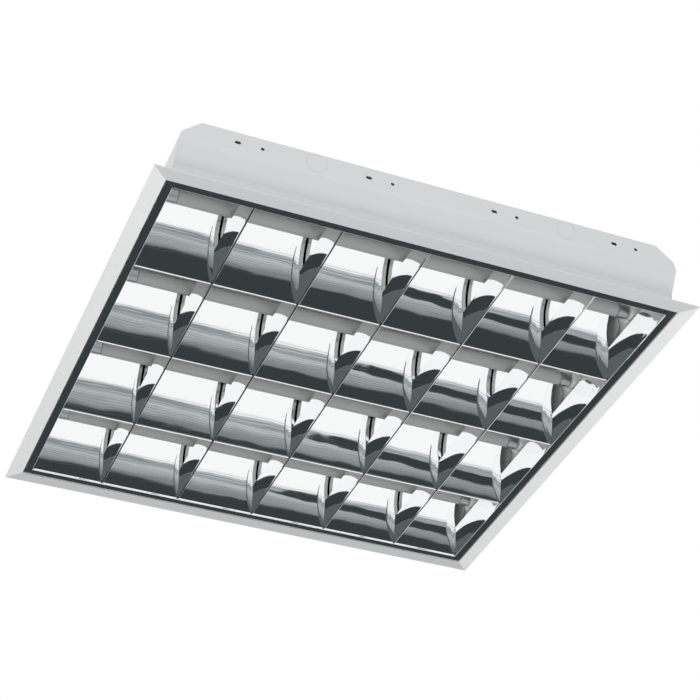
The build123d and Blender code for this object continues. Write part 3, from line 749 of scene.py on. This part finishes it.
class TROFFER_OT_side_reflectors(bpy.types.Operator):
    """Side reflectors with their flat strips, front and rear."""

    bl_idname = "troffer.side_reflectors"
    bl_label = "Side Reflectors"

    def execute(self, context):
        sizes = context.scene.troffer_louvre
        mesh = side_reflector_mesh(sizes)
        for name, shape in (("front", mesh), ("rear", turned(mesh, "side_rear"))):
            piece = tidy_object(f"side_mirror_{name}", shape)
            thicken(piece, sizes.sheet, SIDE_SIDE)
            paint(piece, finish("bright_anodised_aluminium"))
            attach(piece, "louvre")
            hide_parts(f"side_reflector_{name}")
        return {"FINISHED"}


class TROFFER_OT_end_reflectors(bpy.types.Operator):
    """End reflectors with their flat strips, left and right."""

    bl_idname = "troffer.end_reflectors"
    bl_label = "End Reflectors"

    def execute(self, context):
        sizes = context.scene.troffer_louvre
        mesh = end_reflector_mesh(sizes)
        for name, shape in (("left", mesh), ("right", turned(mesh, "end_right"))):
            piece = tidy_object(f"end_mirror_{name}", shape)
            thicken(piece, sizes.blade_sheet, END_SIDE)
            paint(piece, finish("bright_anodised_aluminium"))
            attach(piece, "louvre")
            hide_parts(f"end_reflector_{name}")
        return {"FINISHED"}


class TROFFER_OT_cross_blades(bpy.types.Operator):
    """Cross blades, one shape repeated along the lamps."""

    bl_idname = "troffer.cross_blades"
    bl_label = "Cross Blades"

    def execute(self, context):
        sizes = context.scene.troffer_louvre
        base = tidy_object("cross_blade_sheet", cross_blade_mesh(sizes))
        thicken(base, sizes.blade_sheet, BLADE_SIDE)
        places = [node_x(name) for name in BLADES]
        mirror = finish("bright_anodised_aluminium")
        piece = copies_along("cross_blades", base.data, (1, 0, 0), places, mirror)
        bpy.data.objects.remove(base)
        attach(piece, "louvre")
        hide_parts(*BLADES)
        return {"FINISHED"}


class TROFFER_OT_lamps(bpy.types.Operator):
    """Glass, caps and contact rotors of the lamps."""

    bl_idname = "troffer.lamps"
    bl_label = "Lamps"

    def execute(self, context):
        for number in range(1, LAMP_COUNT + 1):
            # the tubes' phosphor colour is darkened as painted shade
            paint_node(f"lamp_tube_{number}", finish("phosphor_coated_glass"))
            paint_node(f"lamp_caps_{number}", finish("satin_cap_aluminium"))
            paint_node(f"lamp_rotors_{number}", finish("moulded_rotor_plastic"))
            paint_node(f"lampholder_left_{number}", finish("moulded_polycarbonate"))
            paint_node(f"lampholder_right_{number}", finish("moulded_polycarbonate"))
        return {"FINISHED"}


class TROFFER_OT_gear(bpy.types.Operator):
    """Ballasts, terminal block, grommet and screws inside the tray."""

    bl_idname = "troffer.gear"
    bl_label = "Control Gear"

    def execute(self, context):
        for place in ("front", "rear"):
            paint_node(f"ballast_base_{place}", finish("zinc_plated_steel"))
            paint_node(f"ballast_cover_{place}", finish("white_stove_enamel"))
        paint_node("ballast_screws", finish("zinc_plated_steel"))
        paint_node("earth_screw", finish("plated_brass"))
        paint_node("terminal_block", finish("grey_terminal_polyamide"))
        paint_node("cable_grommet", finish("moulded_rubber"))
        for name in ("lamp_wiring_front", "lamp_wiring_rear"):
            paint_node(name, finish("white_wire_pvc"))
        paint_node("mains_wiring", finish("grey_wire_pvc"))
        return {"FINISHED"}


class TROFFER_OT_fixings(bpy.types.Operator):
    """Hinges and spring catches of the louvre."""

    bl_idname = "troffer.fixings"
    bl_label = "Hinges and Catches"

    def execute(self, context):
        for name in ("hinge_brackets", "hinge_pins"):
            paint_node(name, finish("zinc_plated_steel"))
        for name in ("hinge_knuckles", "catch_tongues", "spring_catches"):
            paint_node(name, finish("bright_spring_steel"))
        return {"FINISHED"}


# ------------------------------------------------------------------ operators: the stage
def plain_panel(name, corners, material, shown):
    """Flat stage panel; panels that aren't shown are seen by the mirrors only."""
    mesh = bpy.data.meshes.new(name)
    mesh.from_pydata(corners, [], [tuple(range(len(corners)))])
    obj = tidy_object(name, mesh)
    paint(obj, material)
    if not shown:
        obj.visible_camera = False
        obj.visible_diffuse = False
        obj.visible_shadow = False


def direct_rays(tree):
    """1 for the camera's own rays and for those that metal, gloss and glass send on."""
    path = add_node(tree, "ShaderNodeLightPath")
    seen = add_node(
        tree, "ShaderNodeMath",
        {0: path.outputs["Is Camera Ray"], 1: path.outputs["Is Glossy Ray"]}, operation="MAXIMUM",
    )
    through = add_node(
        tree, "ShaderNodeMath",
        {0: seen.outputs[0], 1: path.outputs["Is Transmission Ray"]}, operation="MAXIMUM",
    )
    return through.outputs[0]


def shown_as_written(tree, shader, colour_source=None):
    """Show a stage colour at strength 1 to direct rays; the object is lit only by its bounce."""
    plain = shader.inputs["Base Color"].default_value
    glow = add_node(tree, "ShaderNodeEmission", Color=plain, Strength=1.0)
    if colour_source:
        tree.links.new(colour_source, glow.inputs["Color"])
        tree.links.new(colour_source, shader.inputs["Base Color"])
    mix = add_node(tree, "ShaderNodeMixShader", {0: direct_rays(tree)})
    tree.links.new(shader.outputs[0], mix.inputs[1])
    tree.links.new(glow.outputs[0], mix.inputs[2])
    tree.links.new(mix.outputs[0], tree.nodes["Material Output"].inputs["Surface"])


def floor_material(code_value):
    """Painted studio floor, matt and pale."""
    material, tree, shader = new_material("painted_studio_floor", Base_Color=rgba(code_value), Roughness=0.7)
    shown_as_written(tree, shader)
    return material


def flag_material(name, code):
    """Black or grey duvetyn cloth flag: nearly no reflection."""
    material, tree, shader = new_material(name, Base_Color=linear(code), Roughness=0.9)
    shown_as_written(tree, shader)
    return material


def mat_material(near, far):
    """Grey felt mat behind the camera, in strips: pale at its near edge and darker beyond."""
    material, tree, shader = new_material("grey_studio_mat", Roughness=0.9)
    place = add_node(tree, "ShaderNodeTexCoord")
    # slow waves of the felt, about 0.6 m across, that bend the edges of the strips
    wave = add_node(tree, "ShaderNodeTexNoise", {"Vector": place.outputs["Object"]}, Scale=1.7, Detail=2.0)
    push = spread_noise(tree, wave, -0.22, 0.22)
    parts = add_node(tree, "ShaderNodeSeparateXYZ", {"Vector": place.outputs["Object"]})
    bent = add_node(
        tree, "ShaderNodeMath", {0: parts.outputs["Y"], 1: push.outputs["Result"]}, operation="ADD"
    )
    along = add_node(
        tree, "ShaderNodeMapRange", {"Value": bent.outputs[0]}, From_Min=near, From_Max=far
    )
    ramp = add_node(tree, "ShaderNodeValToRGB", {"Fac": along.outputs["Result"]})
    stops = (
        (0.0, "#F4F6F6"), (0.08, "#B9BEBF"), (0.14, "#8C9293"), (0.19, "#BCC1C2"),
        (0.25, "#8F9596"), (0.31, "#C2C7C8"), (0.55, "#A3A9AA"), (0.86, "#7E8485"),
        (0.93, "#3B4042"), (1.0, "#373C3E"),
    )
    elements = ramp.color_ramp.elements
    while len(elements) < len(stops):
        elements.new(0.5)
    for element, (position, code) in zip(elements, stops):
        element.position = position
        element.color = linear(code)
    # seams between the strips, every 180 mm, drawn wide enough to show in the louvre
    seam = add_node(
        tree, "ShaderNodeTexWave", {"Vector": place.outputs["Object"]}, bands_direction="Y", Scale=1.75,
        Distortion=3.0, Detail=2.0, Detail_Scale=0.5,
    )
    line = add_node(
        tree, "ShaderNodeMapRange", {"Value": seam.outputs["Fac"]},
        From_Min=0.0, From_Max=0.16, To_Min=0.45, To_Max=1.0,
    )
    tone = add_node(tree, "ShaderNodeVectorMath", {0: ramp.outputs["Color"]}, operation="SCALE")
    tree.links.new(line.outputs["Result"], tone.inputs["Scale"])
    shown_as_written(tree, shader, tone.outputs["Vector"])
    return material


def area_lamp(name, place, target, size_x, size_y, power, glossy):
    """Soft rectangular studio light aimed at a point; glossy says whether metal shows it."""
    data = bpy.data.lights.new(name, "AREA")
    data.shape = "RECTANGLE"
    data.size = size_x
    data.size_y = size_y
    data.energy = power
    obj = bpy.data.objects.new(name, data)
    bpy.context.scene.collection.objects.link(obj)
    obj.location = place
    obj.rotation_euler = (Vector(target) - Vector(place)).to_track_quat("-Z", "Y").to_euler()
    obj.visible_camera = False
    obj.visible_glossy = glossy


class TROFFER_OT_stage(bpy.types.Operator):
    """Pale floor, soft light, dark flags for the mirrors, world and camera."""

    bl_idname = "troffer.stage"
    bl_label = "Stage"

    def execute(self, context):
        scene = context.scene
        settings = scene.troffer_stage
        colours = scene.troffer_colours
        scene.view_settings.view_transform = "Standard"
        floor = settings.floor_z
        sides = ((-1, -1), (1, -1), (1, 1), (-1, 1))
        corners = [(x * FLOOR_HALF, y * FLOOR_HALF, floor) for x, y in sides]
        plain_panel("floor", corners, floor_material(colours.floor), True)
        dark = flag_material("black_studio_flag", "#373C3E")
        grey = flag_material("grey_studio_flag", "#5A6062")
        mat = mat_material(-2.35, -4.6)
        # corners of each panel on the floor, as (x, y)
        layers = (
            ("mat_behind_camera", mat, [(-0.9, -2.2), (5.0, -2.2), (5.0, -4.6), (-0.9, -4.6)]),
            ("flag_behind_camera", dark, [(-0.9, -4.45), (7.0, -4.45), (7.0, -9.0), (-0.9, -9.0)]),
            ("flag_bar", dark, [
                (1.12, -2.42), (1.45, -2.78), (2.1, -3.1), (3.0, -3.5),
                (3.0, -4.4), (2.1, -3.72), (1.45, -3.28), (1.18, -3.05),
            ]),
            ("flag_left_near", dark, [(-5.0, -1.62), (-0.9, -1.62), (-0.9, -2.65), (-5.0, -2.65)]),
            ("flag_left_far", grey, [(-5.0, -2.65), (-0.9, -2.65), (-0.9, -9.0), (-5.0, -9.0)]),
            ("flag_beyond_object", dark, [
                (-2.5, 2.1), (1.75, 2.1), (2.7, 2.75), (4.5, 9.0), (-2.5, 9.0),
            ]),
        )
        for step, (name, material, outline) in enumerate(layers):
            level = floor + PANEL_STEP * (step + 1)
            plain_panel(name, [(x, y, level) for x, y in outline], material, False)
        area_lamp(
            "softbox_below", (0.0, -1.7, -1.9), (0.0, 0.0, 0.0), 2.4, 1.6, settings.below_power, False
        )
        area_lamp(
            "softbox_side", (-0.8, -2.8, 1.0), (0.0, 0.0, 0.03), 2.6, 1.0, settings.side_power, True
        )
        world = bpy.data.worlds.new("studio_world")
        scene.world = world
        world.use_nodes = True
        tree = world.node_tree
        tree.nodes.clear()
        strength = add_node(
            tree, "ShaderNodeMapRange", {"Value": direct_rays(tree)},
            To_Min=settings.world_light, To_Max=1.0,
        )
        back = add_node(
            tree, "ShaderNodeBackground", {"Strength": strength.outputs["Result"]},
            Color=(1.0, 1.0, 1.0, 1.0),
        )
        add_node(tree, "ShaderNodeOutputWorld", {"Surface": back.outputs["Background"]})
        camera = bpy.data.cameras.new("camera")
        camera.lens = settings.lens
        camera.sensor_width = 36.0
        camera.shift_x = settings.shift
        camera.clip_end = 60.0
        holder = bpy.data.objects.new("camera", camera)
        scene.collection.objects.link(holder)
        holder.location = CAMERA_PLACE
        holder.rotation_euler = Euler([math.radians(a) for a in CAMERA_TURN], "XYZ")
        scene.camera = holder
        return {"FINISHED"}


# ------------------------------------------------------------------ panel and start
class TROFFER_PT_pieces(bpy.types.Panel):
    """Sidebar list of the light's pieces and sizes."""

    bl_label = "Troffer Light"
    bl_idname = "TROFFER_PT_pieces"
    bl_space_type = "VIEW_3D"
    bl_region_type = "UI"
    bl_category = "Troffer"

    def draw(self, context):
        for operator in OPERATORS:
            self.layout.operator(operator.bl_idname)
        scene = context.scene
        for group in (scene.troffer_louvre, scene.troffer_colours, scene.troffer_stage):
            box = self.layout.box()
            for name in group.__annotations__:
                box.prop(group, name)


OPERATORS = (
    TROFFER_OT_stage,
    TROFFER_OT_tray,
    TROFFER_OT_row_reflectors,
    TROFFER_OT_side_reflectors,
    TROFFER_OT_end_reflectors,
    TROFFER_OT_cross_blades,
    TROFFER_OT_lamps,
    TROFFER_OT_gear,
    TROFFER_OT_fixings,
)
GROUPS = (LouvreSizes, FinishColours, StageSettings)


def register():
    """Register the property groups, operators and panel."""
    for item in GROUPS + OPERATORS + (TROFFER_PT_pieces,):
        bpy.utils.register_class(item)
    bpy.types.Scene.troffer_louvre = bpy.props.PointerProperty(type=LouvreSizes)
    bpy.types.Scene.troffer_colours = bpy.props.PointerProperty(type=FinishColours)
    bpy.types.Scene.troffer_stage = bpy.props.PointerProperty(type=StageSettings)


def unregister():
    """Take everything out again."""
    del bpy.types.Scene.troffer_stage
    del bpy.types.Scene.troffer_colours
    del bpy.types.Scene.troffer_louvre
    for item in reversed(GROUPS + OPERATORS + (TROFFER_PT_pieces,)):
        bpy.utils.unregister_class(item)


def main():
    """Build every piece and the stage."""
    register()
    for operator in OPERATORS:
        group, name = operator.bl_idname.split(".")
        getattr(getattr(bpy.ops, group), name)()


if __name__ == "__main__":
    main()
